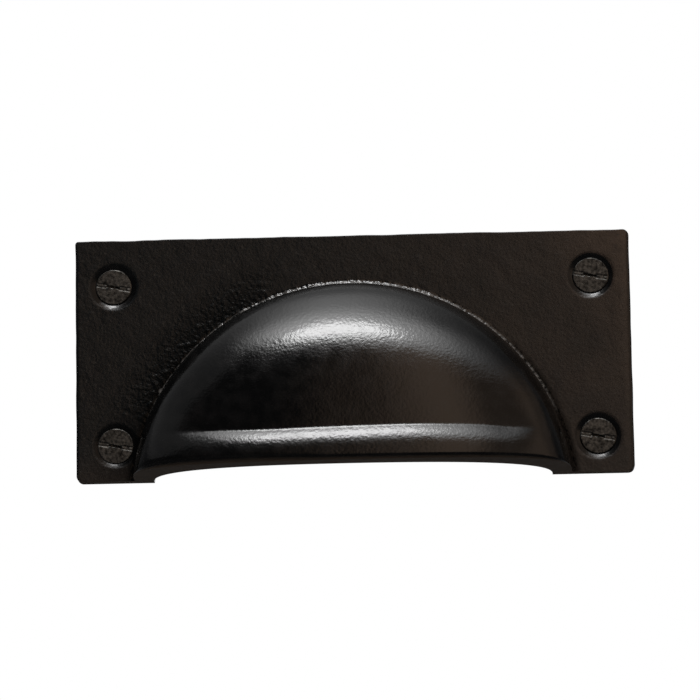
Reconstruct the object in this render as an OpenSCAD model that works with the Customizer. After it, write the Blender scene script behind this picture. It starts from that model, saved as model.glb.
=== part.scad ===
// Cup pull: a cast plate with an arched hood, open at the back and below,
// held by four slotted countersunk wood screws.
// Origin at the centre of the plate's back face, +X to the right,
// +Y into the drawer front, +Z up, sizes in millimetres.

/* [Plate] */
// Width of the plate
plate_w = 101.6; // [96:0.1:130]
// Height of the plate
plate_h = 44.8; // [42:0.1:60]
// Thickness of the plate
plate_t = 2.8; // [2:0.1:4]
// Corner radius of the plate's outline
corner_r = 1.2; // [0.4:0.1:3]
// Width of the bevel round the plate's front edge
edge_bevel = 0.8; // [0.2:0.1:1.5]

/* [Cup] */
// Radius of the cup's arch where it meets the plate
cup_r = 39.9; // [32:0.1:41]
// Drop of the arch's centre below the plate's bottom edge
cup_drop = 4.4; // [0:0.1:8]
// Depth of the cup's front, from the plate's back face
cup_depth = 21.5; // [15:0.1:30]
// Thickness of the cup's wall round the arch
side_wall = 3.4; // [2:0.1:6]
// Thickness of the cup's front wall
front_wall = 3.7; // [1.5:0.1:5]
// Squareness of the section at the cup's sides, where 2 is an ellipse
side_curve = 3.7; // [2:0.05:5]
// Squareness of the section at the cup's crown, where 2 is an ellipse
crown_curve = 2.25; // [2:0.05:5]
// Size of the fillet between the cup and the plate
fillet_r = 0.6; // [0.3:0.1:2]

/* [Lip] */
// Height of the flared lip along the cup's mouth
lip_h = 6.2; // [3:0.1:10]
// How far the lip flares out of the cup's front
lip_out = 1.85; // [0.5:0.05:3]
// Radius of the lip's lower front edge
lip_round = 0.6; // [0.2:0.1:1.2]

/* [Screw holes] */
// Distance between the holes, across
hole_pitch_x = 87.6; // [86:0.1:88]
// Distance between the holes, up and down
hole_pitch_z = 29.6; // [24:0.1:32]
// Drop of the four holes' centre below the plate's centre
hole_drop = 1.1; // [-2:0.1:2]
// Diameter of the clearance holes
hole_d = 4; // [3.8:0.1:4.5]
// Diameter of the dished mouths at the plate's face
mouth_d = 8.7; // [8:0.1:9.4]
// Diameter at which a dished mouth turns into the cone that seats a head
seat_d = 6; // [5.6:0.1:7.4]
// Slope of a dished mouth at the plate's face, in degrees
dish_edge = 16; // [8:1:20]
// Slope of a dished mouth where it meets the cone, in degrees
dish_turn = 29; // [24:1:40]

/* [Screws] */
// Diameter of the screw heads
head_d = 6.6; // [6:0.1:7.4]
// Diameter of the screw shanks
shank_d = 3.5; // [3:0.1:3.7]
// How much thicker a screw's neck is under its head than its shank, on the radius
neck_swell = 0.1; // [0.05:0.05:0.15]
// How far before the plate's back face a neck has run out into the shank
neck_end = 0.05; // [0.02:0.01:0.09]
// Length of a screw, over the head
screw_l = 19; // [12:0.5:30]
// Length of a screw's point
point_l = 4; // [2:0.5:6]
// Width of the slot across a head
slot_w = 0.9; // [0.6:0.1:1.2]
// Depth of the slot
slot_t = 0.9; // [0.5:0.1:1.2]
// Turn of the slots, clockwise from level as seen from the front
slot_turn = 10; // [0:1:180]
// Clearance between a head's cone and its countersink
seat_gap = 0.03; // [0.01:0.01:0.1]

/* [Hidden] */

$fn = 96;
// Past a face, so that a cut goes right through it
past = 1;
// How deep a piece of the casting is rooted in the plate
root = plate_t / 2;
// Steps of the lofts: sections up the arch, bands up the lip, points across a section
arch_steps = 22;
lip_steps = 5;
cross_steps = 36;
// Steps of a dished mouth's curve
dish_steps = 4;
// The lofts stop this short of the very top of the arch, in degrees
apex_gap = 2.5;
// The fillet's circle is this much larger than its reach, so it runs into the faces at an angle
fillet_ease = 1.06;

plate_bottom = -plate_h / 2;
arch_z = plate_bottom - cup_drop;
hood_depth = cup_depth - plate_t;
inner_r = cup_r - side_wall;
inner_depth = cup_depth - front_wall;
// Radius of a dished mouth's curve, and how deep it goes
dish_r = (mouth_d - seat_d) / 2 / (sin(dish_turn) - sin(dish_edge));
dish_t = dish_r * (cos(dish_edge) - cos(dish_turn));
// Seats and heads are cut at 90 degrees, so a cone's depth is its change of radius
head_t = (head_d - shank_d) / 2 - neck_swell;
// Face of the screw heads, from the plate's back face
head_y = -plate_t + dish_t + (seat_d - head_d) / 2 - seat_gap * sqrt(2);

// Exponent of the section that runs from the arch's edge to its centre, by its angle from level
function curve_at(angle) = side_curve + (crown_curve - side_curve) * pow(sin(angle), 2);

// Height of a dome of radius 1 and height 1 above its base, at a point of its plan
function dome(x, z) =
    let (reach = min(norm([x, z]), 1))
    let (curve = curve_at(atan2(abs(z), abs(x))))
    pow(1 - pow(reach, curve), 1 / curve);

// How far the lip stands out at a height above the mouth, less the round of its lower edge
function lip_at(rise) =
    let (flare = rise < lip_h ? lip_out * (1 - pow(rise / lip_h, 2)) : 0)
    let (under = max(lip_round - rise, 0))
    flare - (lip_round - sqrt(pow(lip_round, 2) - pow(under, 2)));

// Place of a point across a section, from 1 at the right to -1 at the left, closest at the sides
function across(step) =
    let (turn = 180 * step / cross_steps)
    sign(cos(turn)) * pow(abs(cos(turn)), 2 / side_curve);

// One level section of the outer skin: out of the plate, round the front and back into the plate
function skin_section(z) =
    let (half = sqrt(pow(cup_r, 2) - pow(z, 2)))
    let (depth = hood_depth + lip_at(max(z - cup_drop, 0)))
    concat(
        [[half, -root, arch_z + z]],
        [for (step = [0 : cross_steps])
            let (x = half * across(step))
            [x, -plate_t - depth * dome(x / cup_r, z / cup_r), arch_z + z]],
        [[-half, -root, arch_z + z]]
    );

// One level section of the hollow, which runs out through the plate's back face
function hollow_section(z) =
    let (half = sqrt(pow(inner_r, 2) - pow(z, 2)))
    concat(
        [[half, past, arch_z + z]],
        [for (step = [0 : cross_steps])
            let (x = half * across(step))
            [x, -inner_depth * dome(x / inner_r, z / inner_r), arch_z + z]],
        [[-half, past, arch_z + z]]
    );

// Heights of a loft's sections above the arch's centre, from a start to the top of an arch of radius r
function arch_heights(start, r) =
    let (low = asin(start / r))
    [for (step = [0 : arch_steps]) r * sin(low + (90 - apex_gap - low) * step / arch_steps)];

// Heights of the sections through the lip, with one on the round of its lower edge
function lip_heights() =
    concat(
        [cup_drop - past, cup_drop, cup_drop + lip_round / 4],
        [for (step = [0 : lip_steps - 1])
            cup_drop + lip_round + (lip_h - lip_round) * step / lip_steps]
    );

// A closed solid through level sections that all have the same number of points
module loft(sections) {
    count = len(sections[0]);
    top = len(sections) - 1;
    points = [for (section = sections) each section];
    sides = [for (i = [0 : top - 1], j = [0 : count - 1])
        let (next = (j + 1) % count)
        each [
            [i * count + j, (i + 1) * count + next, (i + 1) * count + j],
            [i * count + j, i * count + next, (i + 1) * count + next]
        ]];
    bottom_cap = [for (j = [count - 1 : -1 : 0]) j];
    top_cap = [for (j = [0 : count - 1]) top * count + j];
    polyhedron(points, concat(sides, [bottom_cap], [top_cap]));
}

// The plate's front, with its bevels, larger all round than the outline that trims it
module slab() {
    intersection() {
        translate([0, 0, -plate_h])
            linear_extrude(2 * plate_h)
                polygon([
                    [-plate_w / 2 - past, 0],
                    [-plate_w / 2 - past, edge_bevel - plate_t + past],
                    [edge_bevel - plate_w / 2, -plate_t],
                    [plate_w / 2 - edge_bevel, -plate_t],
                    [plate_w / 2 + past, edge_bevel - plate_t + past],
                    [plate_w / 2 + past, 0]
                ]);
        rotate([90, 0, 90])
            translate([0, 0, -plate_w])
                linear_extrude(2 * plate_w)
                    polygon([
                        [past, plate_bottom - past],
                        [-plate_t - past, plate_bottom - past],
                        [-plate_t - past, plate_h / 2 - edge_bevel - past],
                        [edge_bevel - plate_t + past, plate_h / 2 + past],
                        [past, plate_h / 2 + past]
                    ]);
    }
}

// What the outline of the plate's face leaves, from behind the plate to before the lip
module outline_trim() {
    front = cup_depth + lip_out + past;
    translate([0, past, 0])
        rotate([90, 0, 0])
            linear_extrude(front + past) {
                square([plate_w - 2 * corner_r, plate_h], center = true);
                square([plate_w, plate_h - 2 * corner_r], center = true);
                for (x = [-1, 1], z = [-1, 1])
                    translate([x * (plate_w / 2 - corner_r), z * (plate_h / 2 - corner_r)])
                        circle(corner_r);
            }
}

// The hood's outer skin, with its lip
module skin() {
    loft([for (z = concat(lip_heights(), arch_heights(cup_drop + lip_h, cup_r))) skin_section(z)]);
}

// The hollow for the fingers
module hollow() {
    loft([for (z = arch_heights(cup_drop - past, inner_r)) hollow_section(z)]);
}

// The fillet round the foot of the arch
module fillet() {
    translate([0, 0, arch_z])
        rotate([90, 0, 0])
            rotate_extrude()
                difference() {
                    translate([inner_r + side_wall / 2, root])
                        square([side_wall / 2 + fillet_r, root + fillet_r]);
                    translate([cup_r + fillet_r, plate_t + fillet_r])
                        circle(fillet_r * fillet_ease);
                }
}

// Places its child at each of the four holes, turned so that +Z runs into the drawer front
module at_holes() {
    for (x = [-1, 1], z = [-1, 1])
        translate([x * hole_pitch_x / 2, 0, z * hole_pitch_z / 2 - hole_drop])
            rotate([-90, 0, 0])
                children();
}

// A point of a dished mouth's curve, by its distance from the hole's axis and its place along it
function dish_point(step) =
    let (turn = dish_edge + (dish_turn - dish_edge) * step / dish_steps)
    [mouth_d / 2 - dish_r * (sin(turn) - sin(dish_edge)), dish_r * (cos(dish_edge) - cos(turn)) - plate_t];

module hole() {
    // The curve's first step, carried on out of the plate's face
    lead = 3 * dish_point(0) - 2 * dish_point(1);
    rotate_extrude($fn = 64)
        polygon(concat(
            [[0, -plate_t - past], [lead[0], -plate_t - past], lead],
            [for (step = [1 : dish_steps]) dish_point(step)],
            [
                [hole_d / 2, dish_t - plate_t + (seat_d - hole_d) / 2],
                [hole_d / 2, past],
                [0, past]
            ]
        ));
}

module screw() {
    neck_y = head_y + head_t;
    point_y = head_y + screw_l - point_l;
    difference() {
        rotate_extrude()
            polygon([
                [0, head_y],
                [head_d / 2, head_y],
                [shank_d / 2 + neck_swell, neck_y],
                [shank_d / 2, -neck_end],
                [shank_d / 2, point_y],
                [0, point_y + point_l]
            ]);
        rotate([0, 0, slot_turn])
            translate([-head_d, -slot_w / 2, head_y - past])
                cube([2 * head_d, slot_w, slot_t + past]);
    }
}

module cup_pull() {
    color("#1f1d1c")
        difference() {
            intersection() {
                union() {
                    slab();
                    skin();
                    fillet();
                }
                outline_trim();
            }
            hollow();
            at_holes() hole();
        }
}

module fixing_screws() {
    color("#282522")
        at_holes() screw();
}

cup_pull();
fixing_screws();
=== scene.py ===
import math

import bmesh
import bpy
import numpy as np
from mathutils import Matrix, Vector, geometry, noise


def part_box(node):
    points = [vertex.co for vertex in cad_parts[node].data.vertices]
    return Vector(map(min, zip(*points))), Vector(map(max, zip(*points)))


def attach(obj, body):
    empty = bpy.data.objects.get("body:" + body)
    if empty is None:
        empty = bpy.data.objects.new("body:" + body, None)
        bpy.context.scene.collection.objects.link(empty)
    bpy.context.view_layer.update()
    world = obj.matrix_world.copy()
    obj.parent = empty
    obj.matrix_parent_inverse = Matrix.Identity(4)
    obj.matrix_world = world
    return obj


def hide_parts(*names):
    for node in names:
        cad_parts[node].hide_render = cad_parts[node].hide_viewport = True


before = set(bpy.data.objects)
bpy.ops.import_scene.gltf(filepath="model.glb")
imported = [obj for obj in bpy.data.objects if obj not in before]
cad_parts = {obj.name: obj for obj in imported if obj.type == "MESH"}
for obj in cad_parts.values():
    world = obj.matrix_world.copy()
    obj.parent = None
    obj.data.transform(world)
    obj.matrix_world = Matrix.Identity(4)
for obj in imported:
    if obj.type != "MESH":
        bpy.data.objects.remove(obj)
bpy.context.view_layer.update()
castLow, castHigh = [np.array(corner) * 1000 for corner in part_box("cup_pull")]
screwLow, screwHigh = [np.array(corner) * 1000 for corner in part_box("fixing_screws")]
mm = 0.001  # shapes are worked out in millimetres and stored in metres
print("frame: casting", (castHigh - castLow).round(2), "mm")

# The casting, in the sizes of its solid
pull = {
    "plateT": 2.8,
    "cornerR": 1.2,
    "topLeftR": 0.6,  # this corner came out of the mould sharper
    "rightRound": 0.5,
    "rightFall": 0.2,  # the face falls away a little before this edge
    "rightFallW": 1.6,
    "leftRound": 0.5,
    "topRound": 0.15,
    "cupR": 39.9,
    "cupDrop": 4.4,
    "cupShift": -0.4,  # the core sat a little to the left in the mould
    "cupDepth": 21.5,
    "sideWall": 3.4,
    "frontWall": 3.7,
    "sideCurve": 3.7,  # how square the hood's section is at its sides, and over its crown
    "crownCurve": 2.25,
    "crownEase": 0.15,  # measured from below the arch's centre, which keeps the front from hollowing
    "mouthEase": 1.05,  # the hollow's corners are fuller at the mouth, as the core drew out that way
    "mouthEaseH": 7,
    "filletTop": 0.7,
    "filletSide": 0.3,
    "filletW": 1.15,  # times its height
    "filletUneven": 0.4,
    "filletOut": (0, 0.06, 0.14, 0.24, 0.36, 0.5, 0.66, 0.83, 1),  # steep at the wall, then a flat slope
    "filletUp": (1, 0.75, 0.56, 0.43, 0.335, 0.255, 0.17, 0.085, 0),
    "lipH": 6.2,
    "lipOut": 1.66,
    "lipFade": (27, 35),  # out here the lip runs out without a crease
    "lipFadeH": 11,
    "lipRound": 1.1,
    "lipRoundLeft": 1.7,  # the lower edge is rubbed rounder there
    "creaseBlend": 0.4,
    "creaseClear": 0.7,
    "creaseWander": [(10, 9, 0.2), (-16, 9, -0.27), (30, 5, -0.5)],  # place, width, rise: carved by hand
    "holePitchX": 87.6,
    "holePitchZ": 29.6,
    "holeDrop": 1.1,
    "holeR": 2.0,
    "seatR": 3.0,
    "dishEdge": 16,  # slopes of the dished mouth, in degrees
    "dishTurn": 29,
    "topWave": 0.14,
    "sideWave": 0.06,
    "plateLumps": 0.02,
    "hoodLumps": 0.02,
    "sandBurn": 0.1,  # pitting where the sand burnt on: beside the arch, left of it, and by one screw
    "burntRing": (9, 0.5),
    "burntSide": (-8, -20),
    "burntLow": (-21, -12),
    "burntScrew": (8, 4.6),
    "burntEdge": (-42, -47),
    "crustRing": (2.2, 0.4),
    "sharpFrom": 38,
}
# How finely the casting is meshed
weave = {
    "across": 220,
    "lipBend": 9,
    "lipRows": 60,
    "archRows": 90,
    "hollowRows": 40,
    "edgeRows": 5,
    "edgeStep": 0.7,
    "cornerSteps": 9,
    "dishRows": 8,
    "sinkSides": 72,
    "grain": 0.32,  # spacing on the plate's front, on its back, and on the rim under the lip
    "backGrain": 2.5,
    "rimGrain": 0.6,
    "footTries": 12,
}

plateW = castHigh[0] - castLow[0]
plateT = pull["plateT"]
bottomZ, topZ = castLow[2], castHigh[2]
archZ = bottomZ - pull["cupDrop"]
hoodDepth = pull["cupDepth"] - plateT
innerR = pull["cupR"] - pull["sideWall"]
innerDepth = pull["cupDepth"] - pull["frontWall"]
# the holes were drilled by hand: each one's place off the true pattern, and the radius of its mouth
holeStray = {
    (-1, -1): (0.25, 0, 4.2),
    (-1, 1): (0.05, -0.05, 4.5),
    (1, -1): (0.45, 0.05, 4.5),
    (1, 1): (-0.2, 0.2, 4.45),
}
holes = [
    (x * pull["holePitchX"] / 2 + dx, z * pull["holePitchZ"] / 2 - pull["holeDrop"] + dz, mouth)
    for (x, z), (dx, dz, mouth) in holeStray.items()
]


def smoothStep(low, high, value):
    t = np.clip((value - low) / (high - low), 0, 1)
    return t * t * (3 - 2 * t)


def waver(x, y, z, size, seed):
    # gentle noise of about +-1, one value a point, in lumps about that many millimetres across
    x, y, z = np.broadcast_arrays(x / size + seed, y / size - seed, z / size)
    flat = [noise.noise(Vector(p)) for p in zip(x.ravel(), y.ravel(), z.ravel())]
    return np.array(flat).reshape(x.shape)


def curveAt(x, z, side=pull["sideCurve"]):
    high = np.abs(z) + pull["crownEase"]
    return side + (pull["crownCurve"] - side) * high**2 / (high**2 + x**2)


def dome(x, z, side=pull["sideCurve"]):
    reach = np.minimum(np.hypot(x, z), 1)
    curve = curveAt(x, z, side)
    return (1 - reach**curve) ** (1 / curve)


def filletAt(angle):
    # a small run-out over the crown, almost a sharp corner down the sides
    crown = smoothStep(0.25, 0.75, np.sin(angle))
    return pull["filletSide"] + (pull["filletTop"] - pull["filletSide"]) * crown


def lipAt(rise, x):
    out, blend = pull["lipOut"], pull["creaseBlend"]
    under = pull["lipRound"] + (pull["lipRoundLeft"] - pull["lipRound"]) * smoothStep(0, -20, x)
    height = pull["lipH"]
    for middle, wide, more in pull["creaseWander"]:
        height = height + more * np.exp(-(((x - middle) / wide) ** 2))
    flare = out * (1 - (np.clip(rise, 0, height) / height) ** 2)
    edge = out * (1 - (1 - blend / height) ** 2)
    crease = edge * (np.clip(height + blend - rise, 0, None) / (2 * blend)) ** 2
    tuck = np.clip(under - rise, 0, under)
    flare = np.where(rise < height - blend, flare, crease)
    faded = out * smoothStep(pull["lipFadeH"], 0, rise)
    flare = flare + (faded - flare) * smoothStep(*pull["lipFade"], np.abs(x))
    return flare - (under - np.sqrt(under**2 - tuck**2))


def hoodY(x, z):
    depth = hoodDepth + lipAt(z - pull["cupDrop"], x)
    return -plateT - depth * dome(x / pull["cupR"], z / pull["cupR"])


def footReach(x, z, angle):
    # how far from the arch's centre the hood's wall meets the top of its run-out
    depth = hoodDepth + lipAt(z - pull["cupDrop"], x)
    curve = curveAt(x / pull["cupR"], z / pull["cupR"])
    return pull["cupR"] * (1 - (filletAt(angle) / depth) ** curve) ** (1 / curve)


def footX(z, side):
    # that meeting at a height above the centre, to the right (1) or to the left (-1)
    x = np.sqrt(pull["cupR"] ** 2 - z**2)
    for _ in range(weave["footTries"]):
        reach = footReach(side * x, z, np.arctan2(z, x))
        x = np.sqrt(reach**2 - z**2)
    return x


def footR(angle):
    reach = pull["cupR"]
    for _ in range(weave["footTries"]):
        reach = footReach(reach * np.cos(angle), reach * np.sin(angle), angle)
    return reach


def across(count):
    turn = np.cos(np.linspace(0, math.pi, count + 1))
    return np.sign(turn) * np.abs(turn) ** (2 / pull["sideCurve"])


def closing(count):
    # steps from 0 to 1 that get closer together
    return (1 - (1 - np.linspace(0, 1, count)) ** 3)[:, None]


def insideOf(points, loop):
    inside = np.zeros(len(points), bool)
    for a, b in zip(loop, np.roll(loop, -1, axis=0)):
        crosses = (a[1] > points[:, 1]) != (b[1] > points[:, 1])
        step = b[1] - a[1] if b[1] != a[1] else 1
        inside ^= crosses & (points[:, 0] < (b[0] - a[0]) * (points[:, 1] - a[1]) / step + a[0])
    return inside


class Shell:  # gathers patches that share their edges, then welds them into one mesh
    def __init__(self):
        self.points, self.faces, self.count = [], [], 0

    def add(self, points, faces):
        self.points.append(np.asarray(points, float))
        self.faces += [[i + self.count for i in face] for face in faces]
        self.count += len(points)

    def addGrid(self, grid):
        rows, cols = grid.shape[:2]
        corner = [r * cols + c for r in range(rows - 1) for c in range(cols - 1)]
        self.add(grid.reshape(-1, 3), [(i, i + 1, i + cols + 1, i + cols) for i in corner])

    def addFlat(self, loops, grain, place):
        # fills the first loop, less the others; place turns the plane's two coordinates into points
        loops = [np.asarray(loop) for loop in loops]
        points = np.vstack(loops)
        edges, start = [], 0
        for loop in loops:
            edges += [(start + i, start + (i + 1) % len(loop)) for i in range(len(loop))]
            start += len(loop)
        low, high = points.min(axis=0), points.max(axis=0)
        apart = grain * 0.6  # from the edges
        row = grain * 0.87  # even triangles
        u, v = np.meshgrid(np.arange(low[0] + apart, high[0] - grain / 2, grain),
                           np.arange(low[1] + apart, high[1] - grain / 2, row))
        u = u + (np.arange(len(v)) % 2)[:, None] * grain / 2
        inner = np.column_stack([u.ravel(), v.ravel()])
        inner = inner[self.within(inner, loops)]
        clear = np.ones(len(inner), bool)
        for point in points:
            clear &= np.hypot(*(inner - point).T) > apart
        points = np.vstack([points, inner[clear]])
        flat = geometry.delaunay_2d_cdt([Vector(p) for p in points], edges, [], 0, 1e-6)
        made = np.array([list(p) for p in flat[0]])
        faces = np.array(flat[2])
        keep = self.within(made[faces].mean(axis=1), loops)
        self.add(np.column_stack(place(made[:, 0], made[:, 1])), faces[keep].tolist())

    def within(self, points, loops):
        keep = insideOf(points, loops[0])
        for loop in loops[1:]:
            keep &= ~insideOf(points, loop)
        return keep

    def mesh(self, name, uneven):
        made = bpy.data.meshes.new(name)
        made.from_pydata((uneven(np.vstack(self.points)) * mm).tolist(), [], self.faces)
        shape = bmesh.new()
        shape.from_mesh(made)
        bmesh.ops.remove_doubles(shape, verts=shape.verts, dist=3e-6)
        bmesh.ops.dissolve_degenerate(shape, edges=shape.edges, dist=1e-6)
        bmesh.ops.recalc_face_normals(shape, faces=shape.faces)
        shape.to_mesh(made)
        loose = sum(1 for edge in shape.edges if len(edge.link_faces) != 2)
        print(name, "faces", len(shape.faces), "open edges", loose)
        shape.free()
        return made


def placed(name, made, node):
    piece = bpy.data.objects.new(name, made)
    bpy.context.collection.objects.link(piece)
    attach(piece, "root")
    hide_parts(node)
    return piece


def straightRun(start, end):
    steps = max(2, round(math.dist(start, end) / weave["edgeStep"]))
    return [start + (end - start) * k / steps for k in range(1, steps)]


def plateOutline(footEdge, footEdgeLeft):
    # from the hood's right foot, round the plate, to its left foot: points, inward normals, rounding
    half = plateW / 2
    corners = [
        (half, bottomZ, pull["cornerR"], -90),
        (half, topZ, pull["cornerR"], 0),
        (-half, topZ, pull["topLeftR"], 90),
        (-half, bottomZ, pull["cornerR"], 180),
    ]
    points, normals = [np.array((footEdge, bottomZ))], [np.array((0.0, 1.0))]
    for x, z, r, start in corners:
        turn = np.radians(start + np.linspace(0, 90, weave["cornerSteps"]))
        spokes = np.column_stack([np.cos(turn), np.sin(turn)])
        ring = np.array((x - math.copysign(r, x), z - math.copysign(r, z))) + r * spokes
        run = straightRun(points[-1], ring[0])
        points += run + list(ring)
        normals += [-spokes[0]] * len(run) + list(-spokes)
    last = straightRun(points[-1], np.array((footEdgeLeft, bottomZ)))
    points += last + [np.array((footEdgeLeft, bottomZ))]
    normals += [np.array((0.0, 1.0))] * (len(last) + 1)
    points, normals = np.array(points), np.array(normals)
    side = np.where(points[:, 0] > 0, pull["rightRound"], pull["leftRound"])
    high = smoothStep(topZ - 2.5, topZ - 0.3, points[:, 1])
    low = smoothStep(bottomZ, bottomZ + 1.5, points[:, 1])  # square along the bottom, where the hood ends
    rounding = (side + (pull["topRound"] - side) * high) * low
    return points, normals, rounding


def castUneven(points):
    # what the sand mould leaves: a wavering outline, low lumps on the plate, slow swells on the hood
    x, y, z = points.T
    zero = np.zeros(len(x))
    half = plateW / 2
    topEdge = smoothStep(topZ - 6, topZ, z)
    rightEdge = smoothStep(half - 5, half, x)
    leftEdge = smoothStep(half - 5, half, -x)
    wave = waver(x, zero, zero, 9, 3.1) + 0.5 * waver(x, zero, zero, 2.6, 8.4) - 0.5
    dz = np.minimum(topEdge * pull["topWave"] * wave, 0)  # never past the solid's own top edge
    dx = (leftEdge - rightEdge) * pull["sideWave"] * (1 + waver(z, zero, zero, 4, 5.7))

    seat = np.min([np.hypot(x - cx, z - cz) for cx, cz, _ in holes], axis=0)
    plate = smoothStep(1, 2.4, -y) * smoothStep(4.2, 7, seat)  # the back and the seats stay true
    lumps = waver(x, y, z, 3.4, 1.3) + 0.6 * waver(x, y, z, 1.5, 6.2)
    arch = np.hypot(x - pull["cupShift"], z - archZ) - pull["cupR"]
    byScrew = np.hypot(x + pull["holePitchX"] / 2, z - pull["holePitchZ"] / 2 + pull["holeDrop"])
    burnt = smoothStep(*pull["burntRing"], arch)
    burnt = burnt * smoothStep(*pull["burntSide"], x) * smoothStep(*pull["burntLow"], z)
    burnt += smoothStep(*pull["burntScrew"], byScrew) * smoothStep(*pull["burntEdge"], x)
    burnt += 0.5 * smoothStep(*pull["crustRing"], arch)
    pitting = np.clip(waver(x, y, z, 0.75, 4.8) * 1.6 - 0.25, -0.4, 1)
    lumps = lumps + burnt * pitting * pull["sandBurn"] / pull["plateLumps"]
    hood = smoothStep(plateT + 1, plateT + 6, -y)
    swell = waver(x, y, z, 11, 2.2) + 0.35 * waver(x, y, z, 4, 9.6)
    dy = -plate * ((1 - hood) * pull["plateLumps"] * lumps + hood * pull["hoodLumps"] * swell)
    fall = np.clip((x - half + pull["rightFallW"]) / pull["rightFallW"], 0, 1) ** 2
    fall = fall * smoothStep(1.2, 2.2, -y)
    return np.column_stack([x + dx, y + dy + pull["rightFall"] * fall, z + dz])


def buildCasting():
    shell = Shell()
    share = across(weave["across"])
    cupTop = pull["cupDrop"] + pull["lipH"] + pull["creaseClear"]

    # the lip, row by row from the open edge to just above the crease
    bend = np.linspace(0, math.pi / 2, weave["lipBend"])
    rise = (1 - np.cos(bend))[:-1] * pull["lipRound"]
    rows = np.linspace(pull["lipRound"], cupTop - pull["cupDrop"], weave["lipRows"])
    lipZ = pull["cupDrop"] + np.concatenate([rise, rows])
    foot, footLeft = footX(lipZ, 1), footX(lipZ, -1)
    lipX = np.where(share > 0, foot[:, None], footLeft[:, None]) * share
    lipUp = np.broadcast_to(lipZ[:, None], lipX.shape)
    lipGrid = np.dstack([lipX + pull["cupShift"], hoodY(lipX, lipUp), lipUp + archZ])
    shell.addGrid(lipGrid)

    # the hood above the crease: columns that turn from upright to square on to the arch
    firstTurn = math.atan2(cupTop, foot[-1])
    turn = np.linspace(firstTurn, math.pi - firstTurn, weave["across"] + 1)
    reach = footR(turn)
    archX, archUp = reach * np.cos(turn), reach * np.sin(turn)
    t = closing(weave["archRows"])
    hoodX = (1 - t) * lipX[-1] + t * archX
    hoodUp = (1 - t) * cupTop + t * archUp
    shell.addGrid(np.dstack([hoodX + pull["cupShift"], hoodY(hoodX, hoodUp), hoodUp + archZ]))

    # the run-out of the hood's wall into the plate, from right foot to left foot
    baseX = np.concatenate([foot, archX[1:-1], -footLeft[::-1]])
    baseUp = np.concatenate([lipZ, archUp[1:-1], lipZ[::-1]])
    lift = smoothStep(0, 4, baseUp - pull["cupDrop"])  # at the feet it runs straight out sideways
    way = np.column_stack([baseX, baseUp * lift])
    way /= np.hypot(*way.T)[:, None]
    level = baseX * 0
    angle = np.arctan2(baseUp, np.abs(baseX))
    slow, quick = waver(baseX, baseUp, level, 3.1, 4.4), waver(baseX, baseUp, level, 0.9, 7.7)
    uneven = pull["filletUneven"] * slow + pull["filletUneven"] * quick
    size = filletAt(angle) * (1 + lift * uneven * np.sin(angle))
    out, high = [np.array(pull[key])[:, None] for key in ("filletOut", "filletUp")]
    wallY = hoodY(baseX, baseUp)
    reach = pull["filletW"] * size * out
    fillet = np.dstack([
        baseX + way[:, 0] * reach + pull["cupShift"],
        -plateT + (wallY + plateT) * high,
        baseUp + way[:, 1] * reach + archZ,
    ])
    shell.addGrid(fillet)
    archLine = fillet[-1]
    footEdge, footEdgeLeft = archLine[0, 0], archLine[-1, 0]

    # the plate's edge, rounded to the front and square to the back
    outline, normals, rounding = plateOutline(footEdge, footEdgeLeft)
    strip = [
        np.column_stack([
            outline[:, 0] + normals[:, 0] * rounding * (1 - math.sin(a)),
            -plateT + rounding * (1 - math.cos(a)),
            outline[:, 1] + normals[:, 1] * rounding * (1 - math.sin(a)),
        ])
        for a in np.linspace(0, math.pi / 2, weave["edgeRows"])
    ]
    strip.append(np.column_stack([outline[:, 0], np.zeros(len(outline)), outline[:, 1]]))
    shell.addGrid(np.array(strip))

    # four screw holes: a dished mouth, a cone that seats the head, and a straight bore
    around = np.linspace(0, 2 * math.pi, weave["sinkSides"] + 1)
    dish = np.radians(np.linspace(pull["dishEdge"], pull["dishTurn"], weave["dishRows"]))
    frontRims, backRims = [], []
    for cx, cz, mouth in holes:
        dishR = (mouth - pull["seatR"]) / (math.sin(dish[-1]) - math.sin(dish[0]))
        depth = dishR * (math.cos(dish[0]) - np.cos(dish))
        bore = [(mouth - dishR * (math.sin(a) - math.sin(dish[0])), d) for a, d in zip(dish, depth)]
        bore += [(pull["holeR"], depth[-1] + pull["seatR"] - pull["holeR"]), (pull["holeR"], plateT)]
        rings = [
            np.column_stack([cx + r * np.cos(around), d - plateT + 0 * around, cz + r * np.sin(around)])
            for r, d in bore
        ]
        shell.addGrid(np.array(rings))
        frontRims.append(rings[0][:-1, [0, 2]])
        backRims.append(rings[-1][:-1, [0, 2]])

    # the hollow, from its edge under the lip to its edge in the back face
    innerW = math.sqrt(innerR**2 - pull["cupDrop"] ** 2)
    innerTurn = math.asin(pull["cupDrop"] / innerR)
    turn = np.linspace(innerTurn, math.pi - innerTurn, weave["across"] + 1)
    t = closing(weave["hollowRows"])
    hollowX = (1 - t) * (innerW * share) + t * innerR * np.cos(turn)
    hollowUp = (1 - t) * pull["cupDrop"] + t * innerR * np.sin(turn)
    mouth = smoothStep(pull["mouthEaseH"], 0, hollowUp - pull["cupDrop"])
    side = pull["sideCurve"] - pull["mouthEase"] * mouth
    hollowY = -innerDepth * dome(hollowX / innerR, hollowUp / innerR, side)
    hollowY[-1], hollowY[:, 0], hollowY[:, -1] = 0, 0, 0
    hollow = np.dstack([hollowX + pull["cupShift"], hollowY, hollowUp + archZ])
    shell.addGrid(hollow)

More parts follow.
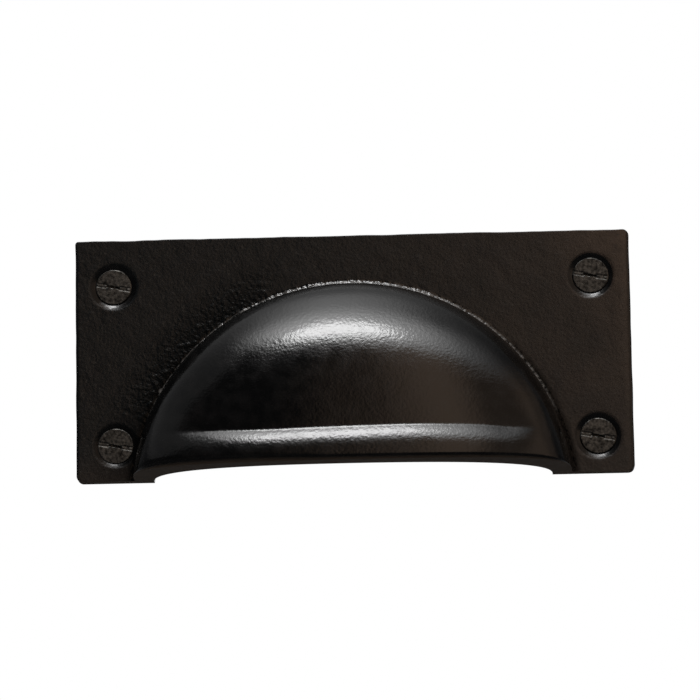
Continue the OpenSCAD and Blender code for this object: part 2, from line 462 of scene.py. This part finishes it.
    # flat faces between them: plate front, back, and the rim under the lip
    front = outline + normals * rounding[:, None]
    shell.addFlat([np.vstack([front, archLine[-2:0:-1][:, [0, 2]]])] + frontRims, weave["grain"],
                  lambda u, v: (u, np.full(len(u), -plateT), v))
    shell.addFlat([np.vstack([outline, hollow[-1, ::-1][:, [0, 2]]])] + backRims, weave["backGrain"],
                  lambda u, v: (u, np.zeros(len(u)), v))
    rim = np.vstack([fillet[::-1, 0, :2], lipGrid[0, 1:, :2], fillet[1:, -1, :2], [(footEdgeLeft, 0)],
                     hollow[0, ::-1, :2], [(footEdge, 0)]])
    shell.addFlat([rim], weave["rimGrain"], lambda u, v: (u, v, np.full(len(u), bottomZ)))

    made = shell.mesh("japannedCasting", castUneven)
    made.shade_smooth()
    made.set_sharp_from_angle(angle=math.radians(pull["sharpFrom"]))
    return placed("japannedCasting", made, "cup_pull")


# The four wood screws: flat slotted heads, smooth necks, cut threads and points
screw = {
    "headR": 3.3,
    "rimBevel": 0.15,
    "rimSlope": 1.1,
    "shankR": 1.75,
    "coreR": 1.25,
    "neck": 5.0,
    "pitch": 1.4,
    "ridge": 0.3,  # half a thread's width, as a share of the pitch
    "runIn": 0.8,
    "point": 4.0,
    "pointCurve": 0.8,
    "slotTurn": 10,  # clockwise from level, in degrees
    "slotOff": 0.1,
    "slotW": 0.84,
    "slotNip": 0.24,  # the slot's width where hammering has closed it
    "slotDeep": 0.55,
    "slotEnds": 0.08,
    "nipEnd": (1.3, 0.95),  # from the slot's middle
    "endsFrom": (0.9, 1.15),
    "burr": 0.055,
    "burrW": (0.26, 0.02),
    "burrFrom": (0.95, 1.25),
    "burrNear": (1.9, 1.4),  # it stands highest here, and again at the rim
    "burrFar": (2.4, 2.8),
    "dents": 0.02,
    "sides": 64,
    "rowStep": 0.14,
    "grain": 0.11,
    "sharpFrom": 50,
}


def faceDepth(u, v):
    # relief of a head, with u along the slot: a nipped deep middle, shallow ends and a burr along each
    side = np.abs(u + screw["slotOff"])
    level = u * 0
    rag = 0.07 * waver(u, v, level, 0.45, 3.3) + 0.05 * waver(u, v, level, 0.2, 1.9)
    middle = smoothStep(*screw["nipEnd"], side)
    middle = middle * smoothStep(screw["slotNip"], 0.05, np.abs(v + rag * 0.6))
    reach = screw["slotW"] / 2 + rag
    ends = smoothStep(*screw["endsFrom"], side) * smoothStep(reach + 0.06, reach - 0.1, np.abs(v))
    burr = smoothStep(*screw["burrFrom"], side) * smoothStep(*screw["burrW"], np.abs(v + 0.03 + rag))
    burr = burr * (smoothStep(*screw["burrNear"], side) + 0.9 * smoothStep(*screw["burrFar"], side) + 0.25)
    dents = waver(u, v, level, 0.5, 6.1) + 0.7 * waver(u, v, level, 0.22, 2.3)
    edge = smoothStep(screw["headR"], screw["headR"] - 0.5, np.hypot(u, v))
    return (middle * screw["slotDeep"] * (0.8 + 0.2 * u) + ends * screw["slotEnds"]
            - burr * screw["burr"] * (0.8 + rag * 3) * edge + dents * screw["dents"] * edge)


def screwBody(name):
    faceY, tipY = screwLow[1], screwHigh[1]
    around = np.linspace(0, 2 * math.pi, screw["sides"] + 1)
    ring = lambda r, y: np.column_stack([r * np.cos(around), y + 0 * around, r * np.sin(around)])
    shell = Shell()
    rim = ring(screw["headR"] - screw["rimBevel"], faceY)
    shell.addFlat([rim[:-1, [0, 2]]], screw["grain"],
                  lambda u, v: (u, faceY + np.maximum(faceDepth(u, v), 0), v))
    rim[:, 1] += np.maximum(faceDepth(rim[:, 0], rim[:, 2]), 0)
    coneEnd = faceY + screw["headR"] - screw["shankR"]
    threadStart = coneEnd + screw["neck"]
    outer = ring(screw["headR"], faceY + screw["rimBevel"] * screw["rimSlope"])
    outer[:, 1] = np.maximum(outer[:, 1], rim[:, 1] + 0.02)
    grid = [rim, outer, ring(screw["shankR"], coneEnd + 0.2), ring(screw["shankR"], threadStart)]
    for y in np.arange(threadStart + 0.1, tipY - 0.05, screw["rowStep"]):
        turn = ((y - threadStart) / screw["pitch"] - around / (2 * math.pi)) % 1
        ridge = np.clip(1 - np.abs(turn - 0.5) / screw["ridge"], 0, 1)
        opening = smoothStep(threadStart, threadStart + screw["runIn"], y)
        r = screw["shankR"] + (screw["coreR"] - screw["shankR"]) * opening * (1 - ridge)
        grid.append(ring(r * min(1, (tipY - y) / screw["point"]) ** screw["pointCurve"], y))
    grid.append(ring(0, tipY))
    shell.addGrid(np.array(grid))
    return shell.mesh(name, lambda points: points)


def buildScrews():
    one = screwBody("oneScrew")
    shape = bmesh.new()
    spin = Matrix.Rotation(math.radians(screw["slotTurn"]), 4, "Y")
    for cx, cz, _ in holes:
        before = len(shape.verts)
        shape.from_mesh(one)
        shape.verts.ensure_lookup_table()
        move = Matrix.Translation((cx * mm, 0, cz * mm)) @ spin
        bmesh.ops.transform(shape, matrix=move, verts=shape.verts[before:])
    made = bpy.data.meshes.new("blackenedScrews")
    shape.to_mesh(made)
    shape.free()
    made.shade_smooth()
    made.set_sharp_from_angle(angle=math.radians(screw["sharpFrom"]))
    return placed("blackenedScrews", made, "fixing_screws")


casting = buildCasting()
screws = buildScrews()


def hexLinear(code):
    parts = [int(code[i : i + 2], 16) / 255 for i in (1, 3, 5)]
    return tuple(c / 12.92 if c <= 0.04045 else ((c + 0.055) / 1.055) ** 2.4 for c in parts) + (1,)


def addNode(tree, kind, settings, out=0):
    made = tree.nodes.new("ShaderNode" + kind)
    for key, value in settings.items():
        if isinstance(key, str) and hasattr(made, key):
            setattr(made, key, value)
        elif isinstance(value, bpy.types.NodeSocket):
            tree.links.new(value, made.inputs[key])
        else:
            made.inputs[key].default_value = value
    return made.outputs[out] if len(made.outputs) else made


def perMetre(size):
    return 1000 / size  # texture scale for a pattern this many millimetres across


# Black japan over sand-cast iron: a baked varnish that keeps the casting's grain on the plate,
# and flows smoother over the hood, where it gives a soft satin highlight with a speckled edge
japan = {
    "black": "#040404",
    "mild": "#0e0d0d",  # lighter clouds in the hood's black
    "dull": "#06090b",  # handled less, the plate's varnish is duller
    "paintedWarmSheenAndBrown": "#2d251f",  # painted warm reflection of the wall on the right: brown patches that grow that way, and lighter brown towards the bottom
    "paintedCornerSheen": "#3d3128",  # the painted warm reflection, most of all at its upper right corner
    "bare": "#2e2c29",  # specks
    "rim": "#31271e",  # a lighter brown on the faces that look down, under the lip
    "paintedGlintAndChip": "#676563",  # painted highlight: a pale line along the top of the hood's foot, where it faces the light, and one chip
    "junctionLineAt": 0.36,  # millimetres outside the hood's own radius
    "chip": (-35.1, -5.9, 0),
    "ior": 1.5,
    "plateRough": 0.34,
    "hoodRough": 0.13,
    "underRough": 0.75,
    "lipRough": 0.03,  # more on the lip, and in the dished mouths
    "dishRough": 0.07,
    "unevenRough": 0.16,
    "plateGloss": 0.43,
    "hoodGloss": 0.5,
    "burntGloss": 0.14,  # burnt sand beside the hood hardly shines
    "paintedShadeGloss": 0.08,  # painted shade: the corners beside the hood's feet are made dull and black
    "rimGloss": 0.15,
    "grainH": 0.05,  # heights of the relief, in millimetres
    "sandH": 0.3,
    "peelH": 0.03,
    "patterns": {  # millimetres across, and levels of detail
        "patch": (9.0, 4),
        "mottle": (2.4, 5),
        "grain": (0.5, 3),
        "sand": (0.7, 2),
        "peel": (0.55, 2),
    },
    "places": {  # each mask grows along a measure, between two places in millimetres, to a level
        "onHood": ("beyond", 0.5, 0.2, 1),
        "sunk": ("inFace", 0.06, 0.14, 1),
        "front": ("y", -1.2, -2, 1),
        "lip": ("z", -14.8, -16.5, 1),
        "shoulder": ("beyond", -18.6, -10.6, 1),
        "ring": ("beyond", 8, 1, 1),
        "outside": ("beyond", 0, 0.5, 1),
        "left": ("x", -12, -20, 1),
        "higher": ("z", -13, -8, 1),
        "crustBand": ("fromLine", 0.75, 0.3, 1),
        "paintedShadeBand": ("fromLine", 1.5, 0.5, 1),
        "feet": ("aside", 25, 33, 0.9),
        "paintedGlintBand": ("fromLine", 0.5, 0.18, 1),
        "above": ("z", -12, -5, 1),
        "chipSpot": ("fromChip", 0.6, 0.25, 1),
        "paintedSheenRight": ("x", -10, 45, 1.2),
        "bottom": ("z", -17, -21.5, 0.4),
        "corner": ("diagonal", 45, 60, 1),
    },
    "shares": {  # and these along a pattern or a slope
        "under": ("facing", -0.5, -0.9, 1),
        "speck": ("sand", 0.6, 0.72, 0.6),
        "flecks": ("sand", 0.38, 0.6, 1),
        "cloud": ("mottle", 0.4, 0.7, 1),
    },
    "joined": {  # and these only where all of several do
        "burnt": ("ring", "outside", "left", "front"),
        "pitted": ("burnt", "higher"),
        "crust": ("crustBand", "front"),
        # painted shade in the corners beside the hood's feet
        "paintedShade": ("paintedShadeBand", "feet", "front"),
        # painted highlight, in flecks, only along the top of the hood's foot
        "paintedGlintLine": ("paintedGlintBand", "front", "above", "flecks"),
        "chip": ("chipSpot", "front"),
    },
}


def japannedIron():
    material = bpy.data.materials.new("blackJapanOnCastIron")
    material.use_nodes = True
    tree = material.node_tree
    tree.nodes.clear()

    # what the masks are measured along
    where = addNode(tree, "TexCoord", {}, "Object")
    x, y, z = [addNode(tree, "SeparateXYZ", {"Vector": where}, axis) for axis in "XYZ"]
    flat = addNode(tree, "CombineXYZ", {"X": x, "Y": z})
    centre = (pull["cupShift"] * mm, archZ * mm, 0)
    fromArch = addNode(tree, "VectorMath", {"operation": "DISTANCE", 0: flat, 1: centre}, "Value")
    edge = (pull["cupR"] + pull["filletTop"]) * mm
    lineR = (pull["cupR"] + japan["junctionLineAt"]) * mm
    line = addNode(tree, "Math", {"operation": "SUBTRACT", 0: fromArch, 1: lineR})
    chip = [c * mm for c in japan["chip"]]
    normal = addNode(tree, "NewGeometry", {}, "Normal")
    along = {
        "x": x,
        "y": y,
        "z": z,
        "aside": addNode(tree, "Math", {"operation": "ABSOLUTE", 0: x}),
        "inFace": addNode(tree, "Math", {"operation": "ADD", 0: y, 1: plateT * mm}),
        "diagonal": addNode(tree, "Math", {"operation": "MULTIPLY_ADD", 0: z, 1: 0.5, 2: x}),
        "beyond": addNode(tree, "Math", {"operation": "SUBTRACT", 0: fromArch, 1: edge}),
        "fromLine": addNode(tree, "Math", {"operation": "ABSOLUTE", 0: line}),
        "fromChip": addNode(tree, "VectorMath", {"operation": "DISTANCE", 0: flat, 1: chip}, "Value"),
        "facing": addNode(tree, "SeparateXYZ", {"Vector": normal}, "Z"),
    }
    for name, (size, detail) in japan["patterns"].items():
        along[name] = addNode(tree, "TexNoise", {"Vector": where, "Scale": perMetre(size), "Detail": detail})

    mask = {}
    for table, unit in (("places", mm), ("shares", 1)):
        for name, (measure, start, end, level) in japan[table].items():
            mask[name] = addNode(tree, "MapRange", {"Value": along[measure], "From Min": start * unit,
                                                    "From Max": end * unit, "To Max": level})
    for name, parts in japan["joined"].items():
        whole = mask[parts[0]]
        for part in parts[1:]:
            whole = addNode(tree, "Math", {"operation": "MULTIPLY", 0: whole, 1: mask[part]})
        mask[name] = whole
    smooth = addNode(tree, "Math", {"operation": "MAXIMUM", 0: mask["onHood"], 1: mask["sunk"]})
    # the painted highlight line, and one chip
    paintedGlintAndChip = addNode(tree, "Math", {"operation": "MAXIMUM", 0: mask["paintedGlintLine"], 1: mask["chip"]})

    # colour, one layer over another: the varnish's own tones, with painted warm reflection, a painted
    # highlight line and painted shade
    # painted warm reflection: brown patches growing towards the right, and lighter brown towards the bottom
    sheenAndBrown = addNode(tree, "Math", {"operation": "MULTIPLY", 0: along["patch"], 1: mask["paintedSheenRight"],
                                  "use_clamp": True})
    sheenAndBrown = addNode(tree, "Math", {"operation": "MAXIMUM", 0: sheenAndBrown, 1: mask["bottom"]})
    # more painted warm reflection, strongest at the upper right corner
    corner = addNode(tree, "Math", {"operation": "MULTIPLY", 0: mask["corner"], 1: along["mottle"]})
    corner = addNode(tree, "Math", {"operation": "MULTIPLY", 0: corner, 1: 1.8, "use_clamp": True})
    black = addNode(tree, "Mix", {"data_type": "RGBA", 0: mask["cloud"], 6: hexLinear(japan["black"]),
                                  7: hexLinear(japan["mild"])}, 2)
    tint = hexLinear(japan["dull"])
    for share, colour in (
        (sheenAndBrown, hexLinear(japan["paintedWarmSheenAndBrown"])),
        (corner, hexLinear(japan["paintedCornerSheen"])),
        (mask["speck"], hexLinear(japan["bare"])),
        (smooth, black),
        # painted shade: black in the corners beside the hood's feet
        (mask["paintedShade"], hexLinear(japan["black"])),
        (mask["under"], hexLinear(japan["rim"])),
        # painted highlight along the top of the hood's foot, and one chip
        (paintedGlintAndChip, hexLinear(japan["paintedGlintAndChip"])),
    ):
        tint = addNode(tree, "Mix", {"data_type": "RGBA", 0: share, 6: tint, 7: colour}, 2)

    # shine
    gloss = addNode(tree, "MapRange", {"Value": smooth, "To Min": japan["plateGloss"],
                                       "To Max": japan["hoodGloss"]})
    for name, level in (("burnt", "burntGloss"), ("paintedShade", "paintedShadeGloss"), ("under", "rimGloss")):
        gloss = addNode(tree, "Mix", {0: mask[name], 2: gloss, 3: japan[level]})
    rough = addNode(tree, "MapRange", {"Value": smooth, "To Min": japan["plateRough"],
                                       "To Max": japan["hoodRough"]})
    rough = addNode(tree, "Mix", {0: mask["under"], 2: rough, 3: japan["underRough"]})
    for name, level in (("lip", "lipRough"), ("sunk", "dishRough")):
        rough = addNode(tree, "Math", {"operation": "MULTIPLY_ADD", 0: mask[name], 1: japan[level], 2: rough})
    spread = addNode(tree, "Math", {"operation": "MULTIPLY_ADD", 0: along["mottle"],
                                    1: japan["unevenRough"], 2: -japan["unevenRough"] / 2})
    rough = addNode(tree, "Math", {"operation": "ADD", 0: rough, 1: spread})

    # relief: cast grain on the plate, burnt sand by the hood, orange peel on shoulder and lip
    share = addNode(tree, "MapRange", {"Value": smooth, "To Min": 1.0, "To Max": 0.1})
    coarse = addNode(tree, "Math", {"operation": "MULTIPLY_ADD", 0: along["mottle"], 1: 1.5,
                                    2: along["grain"]})
    skin = addNode(tree, "Bump", {"Height": coarse, "Strength": share, "Distance": japan["grainH"] * mm})
    burnt = addNode(tree, "Math", {"operation": "MULTIPLY_ADD", 0: mask["crust"], 1: 0.65,
                                   2: mask["pitted"]})
    skin = addNode(tree, "Bump", {"Height": along["sand"], "Strength": burnt,
                                  "Distance": japan["sandH"] * mm, "Normal": skin})
    peeling = addNode(tree, "Math", {"operation": "MAXIMUM", 0: mask["lip"], 1: mask["shoulder"]})
    peeling = addNode(tree, "MapRange", {"Value": peeling, "To Min": 0.5, "To Max": 0.9})
    skin = addNode(tree, "Bump", {"Height": along["peel"], "Strength": peeling,
                                  "Distance": japan["peelH"] * mm, "Normal": skin})
    shader = addNode(tree, "BsdfPrincipled", {"Base Color": tint, "Roughness": rough, "IOR": japan["ior"],
                                              "Specular IOR Level": gloss, "Normal": skin})
    addNode(tree, "OutputMaterial", {"Surface": shader})
    return material


# Blackened steel: wood screws dipped in a thin black oxide, a dull mottled grey that still shines where
# the slot is burred
oxide = {"dark": "#252524", "pale": "#686764", "rough": 0.45, "mottle": 0.55, "mottleH": 0.05}


def blackenedSteel():
    material = bpy.data.materials.new("blackOxideSteel")
    material.use_nodes = True
    tree = material.node_tree
    tree.nodes.clear()
    where = addNode(tree, "TexCoord", {}, "Object")
    mottle = addNode(tree, "TexNoise", {"Vector": where, "Scale": perMetre(oxide["mottle"]), "Detail": 5})
    blotch = addNode(tree, "MapRange", {"Value": mottle, "From Min": 0.3, "From Max": 0.7})
    tint = addNode(tree, "Mix", {"data_type": "RGBA", 0: blotch, 6: hexLinear(oxide["dark"]),
                                 7: hexLinear(oxide["pale"])}, 2)
    bump = addNode(tree, "Bump", {"Height": mottle, "Strength": 0.5, "Distance": oxide["mottleH"] * mm})
    shader = addNode(tree, "BsdfPrincipled", {"Base Color": tint, "Metallic": 1.0, "Normal": bump,
                                              "Roughness": oxide["rough"]})
    addNode(tree, "OutputMaterial", {"Surface": shader})
    return material


casting.data.materials.append(japannedIron())
screws.data.materials.append(blackenedSteel())
print("varnish and oxide ready")

# The studio: a pale floor well below, a dim room with a warm wall to the right, one softbox high in front
studio = {
    "floorZ": -0.3,
    "floorHalf": 4.0,
    "floor": "#c4c2be",
    "floorRough": 0.8,
    "keyTurn": -6.2,  # degrees to the right of the object's front
    "keyRise": 59.0,
    "keyRoll": 3,
    "keyFar": 0.9,
    "keyW": 0.26,
    "keyH": 0.17,
    "keyPower": 1.4,
    "room": "#323335",
    "wall": "#e7c8ae",
    "ceilingLean": 0.12,  # how the ceiling's lower edge slants and bows
    "ceilingBow": -0.14,
    "leftSlant": (1.45, -1.0),
    "patches": {  # spread light: turn, rise, tightness, level
        "ceiling": (-10, 60.5, 22, 6.8),
        "besideKey": (36, 59.5, 13, 0.65),
        "overhead": (-120, 86.5, 26, 1.4),
        "behind": (180, 45, 6, 0.35),
    },
    "fades": {  # along which way, from where to where, from which level to which
        "ceiling": ("ceilingEdge", 0.735, 0.825, 0, 1),
        "bandFoot": ("up", 0.69, 0.8, 0, 1),
        "bandTop": ("up", 0.96, 0.91, 0, 1),
        "left": ("leftEdge", 0.43, 0.57, 0, 0.14),
        "leftAhead": ("back", 0.66, 0.48, 0, 1),
        "low": ("up", 0.05, -0.15, 0, 1),
        "lowBehind": ("back", 0.2, 0.9, 0.015, 0.25),
        "wall": ("right", -0.1, 0.125, 0, 1),
        "wallFar": ("right", 0.17, 0.38, 1, 0.3),
        "wallTop": ("up", 0.81, 0.74, 0, 1),
        "wallAhead": ("back", 0.04, -0.22, 0, 1),
        "wallFoot": ("up", -0.15, 0.04, 0, 1),
        "side": ("right", 0.58, 0.77, 0, 0.27),
        "sideTop": ("up", 0.9, 0.79, 0, 1),
        "sideAhead": ("back", 0.35, 0.1, 0, 1),
        "backdrop": ("back", 0.9, 0.97, 0, 1),
        "backdropFoot": ("up", 0, 0.1, 0, 1),
    },
}


def towards(turn, rise):
    turn, rise = math.radians(turn), math.radians(rise)
    return Vector((math.sin(turn) * math.cos(rise), -math.cos(turn) * math.cos(rise), math.sin(rise)))


def addSoftbox():
    lamp = bpy.data.lights.new("keySoftbox", "AREA")
    lamp.shape, lamp.size, lamp.size_y = "ELLIPSE", studio["keyW"], studio["keyH"]
    lamp.energy = studio["keyPower"]
    piece = bpy.data.objects.new("keySoftbox", lamp)
    bpy.context.collection.objects.link(piece)
    way = towards(studio["keyTurn"], studio["keyRise"])
    piece.location = way * studio["keyFar"]
    roll = Matrix.Rotation(math.radians(studio["keyRoll"]), 3, "Z")
    piece.rotation_euler = (way.to_track_quat("Z", "Y").to_matrix() @ roll).to_euler()


def buildFloor():
    far, low = studio["floorHalf"], studio["floorZ"]
    corners = [(-far, -far, low), (far, -far, low), (far, far, low), (-far, far, low)]
    made = bpy.data.meshes.new("studioFloor")
    made.from_pydata(corners, [], [(0, 1, 2, 3)])
    floor = bpy.data.objects.new("studioFloor", made)
    bpy.context.collection.objects.link(floor)
    floor.visible_glossy = False  # the varnish mirrors a dim room below, as in the picture
    paper = bpy.data.materials.new("paleStudioPaper")
    paper.use_nodes = True
    sheet = paper.node_tree.nodes["Principled BSDF"]
    sheet.inputs["Base Color"].default_value = hexLinear(studio["floor"])
    sheet.inputs["Roughness"].default_value = studio["floorRough"]
    made.materials.append(paper)


def buildWorld():
    world = bpy.data.worlds.new("dimRoomWhiteBackdrop")
    bpy.context.scene.world = world
    world.use_nodes = True
    tree = world.node_tree
    tree.nodes.clear()

    # ways to measure the room along
    way = addNode(tree, "TexCoord", {}, "Generated")
    right, back, up = [addNode(tree, "SeparateXYZ", {"Vector": way}, axis) for axis in "XYZ"]
    aside = addNode(tree, "Math", {"operation": "ABSOLUTE", 0: right})
    ceiling = addNode(tree, "Math", {"operation": "MULTIPLY_ADD", 0: right, 1: studio["ceilingLean"], 2: up})
    ceiling = addNode(tree, "Math", {"operation": "MULTIPLY_ADD", 0: aside, 1: studio["ceilingBow"],
                                     2: ceiling})
    steep, drop = studio["leftSlant"]
    left = addNode(tree, "Math", {"operation": "MULTIPLY_ADD", 0: up, 1: steep, 2: drop})
    left = addNode(tree, "Math", {"operation": "SUBTRACT", 0: left, 1: right})
    along = {"right": right, "back": back, "up": up, "ceilingEdge": ceiling, "leftEdge": left}

    fade = {}
    for name, (axis, start, end, first, last) in studio["fades"].items():
        fade[name] = addNode(tree, "MapRange", {"interpolation_type": "SMOOTHSTEP", "Value": along[axis],
                                                "From Min": start, "From Max": end,
                                                "To Min": first, "To Max": last})
    patch = {}
    for name, (turn, rise, tight, level) in studio["patches"].items():
        middle = towards(turn, rise)
        near = addNode(tree, "VectorMath", {"operation": "DOT_PRODUCT", 0: way, 1: middle}, "Value")
        near = addNode(tree, "Math", {"operation": "MAXIMUM", 0: near, 1: 0.0})
        near = addNode(tree, "Math", {"operation": "POWER", 0: near, 1: tight})
        patch[name] = addNode(tree, "Math", {"operation": "MULTIPLY", 0: near, 1: level})

    band = addNode(tree, "Math", {"operation": "MULTIPLY", 0: fade["bandFoot"], 1: fade["bandTop"]})
    glow = 0.0
    for light, share in (
        (patch["ceiling"], fade["ceiling"]),  # round the softbox, cut off below
        (patch["besideKey"], band),  # a band of it on the right
        (patch["overhead"], 1.0),
        (patch["behind"], 1.0),
        (fade["left"], fade["leftAhead"]),  # a light patch far round to the left
        (fade["low"], fade["lowBehind"]),  # almost nothing below in front, a little behind
    ):
        glow = addNode(tree, "Math", {"operation": "MULTIPLY_ADD", 0: light, 1: share, 2: glow})

    # the warm wall to the right of the camera, and its end further round
    wall = fade["wall"]
    for name in ("wallFar", "wallTop", "wallAhead"):
        wall = addNode(tree, "Math", {"operation": "MULTIPLY", 0: wall, 1: fade[name]})
    side = addNode(tree, "Math", {"operation": "MULTIPLY", 0: fade["side"], 1: fade["sideTop"]})
    wall = addNode(tree, "Math", {"operation": "MULTIPLY_ADD", 0: side, 1: fade["sideAhead"], 2: wall})
    wall = addNode(tree, "Math", {"operation": "MULTIPLY", 0: wall, 1: fade["wallFoot"]})
    warm = hexLinear(studio["wall"])[:3]
    warm = addNode(tree, "VectorMath", {"operation": "SCALE", 0: warm, "Scale": wall})
    room = addNode(tree, "VectorMath", {"operation": "ADD", 0: hexLinear(studio["room"])[:3], 1: glow})
    room = addNode(tree, "VectorMath", {"operation": "ADD", 0: room, 1: warm})

    # a white backdrop: all of it to the camera, and straight behind the pull to what mirrors it
    glossy = addNode(tree, "LightPath", {}, "Is Glossy Ray")
    through = addNode(tree, "LightPath", {}, "Is Transmission Ray")
    mirrored = addNode(tree, "Math", {"operation": "MAXIMUM", 0: glossy, 1: through})
    for name in ("backdrop", "backdropFoot"):
        mirrored = addNode(tree, "Math", {"operation": "MULTIPLY", 0: mirrored, 1: fade[name]})
    seen = addNode(tree, "LightPath", {}, "Is Camera Ray")
    white = addNode(tree, "Math", {"operation": "MAXIMUM", 0: seen, 1: mirrored})
    shade = addNode(tree, "Mix", {"data_type": "RGBA", 0: white, 6: room, 7: (1, 1, 1, 1)}, 2)
    shade = addNode(tree, "Background", {"Color": shade, "Strength": 1.0})
    addNode(tree, "OutputWorld", {"Surface": shade})


# The camera: below and a little to the right of the pull, far off on a long lens
view = {
    "far": 0.8,
    "turn": 1.78,
    "rise": -10.62,
    "roll": -0.95,
    "picture": 700,  # pixels across, and the lens and its middle in the same pixels
    "focal": 4371,
    "midU": 353.74,
    "midV": 357.8,
    "sensor": 36,
}


def buildCamera():
    roll, picture = math.radians(view["roll"]), view["picture"]
    back = towards(view["turn"], view["rise"])
    right = (-back).cross(Vector((0, 0, 1))).normalized()
    up = right.cross(-back)
    rolledRight = right * math.cos(roll) + up * math.sin(roll)
    rolledUp = up * math.cos(roll) - right * math.sin(roll)
    lens = bpy.data.cameras.new("photoCamera")
    lens.sensor_width, lens.sensor_fit = view["sensor"], "HORIZONTAL"
    lens.lens = view["sensor"] * (view["focal"] / picture)
    lens.shift_x = (picture / 2 - view["midU"]) / picture
    lens.shift_y = (view["midV"] - picture / 2) / picture
    lens.clip_start, lens.clip_end = 0.05, 20
    piece = bpy.data.objects.new("photoCamera", lens)
    bpy.context.collection.objects.link(piece)
    aim = Matrix((rolledRight, rolledUp, back)).transposed().to_4x4()
    piece.matrix_world = Matrix.Translation(back * view["far"]) @ aim
    bpy.context.scene.camera = piece


buildFloor()
addSoftbox()
buildWorld()
buildCamera()
bpy.context.scene.view_settings.view_transform = "Standard"
print("studio and camera ready")
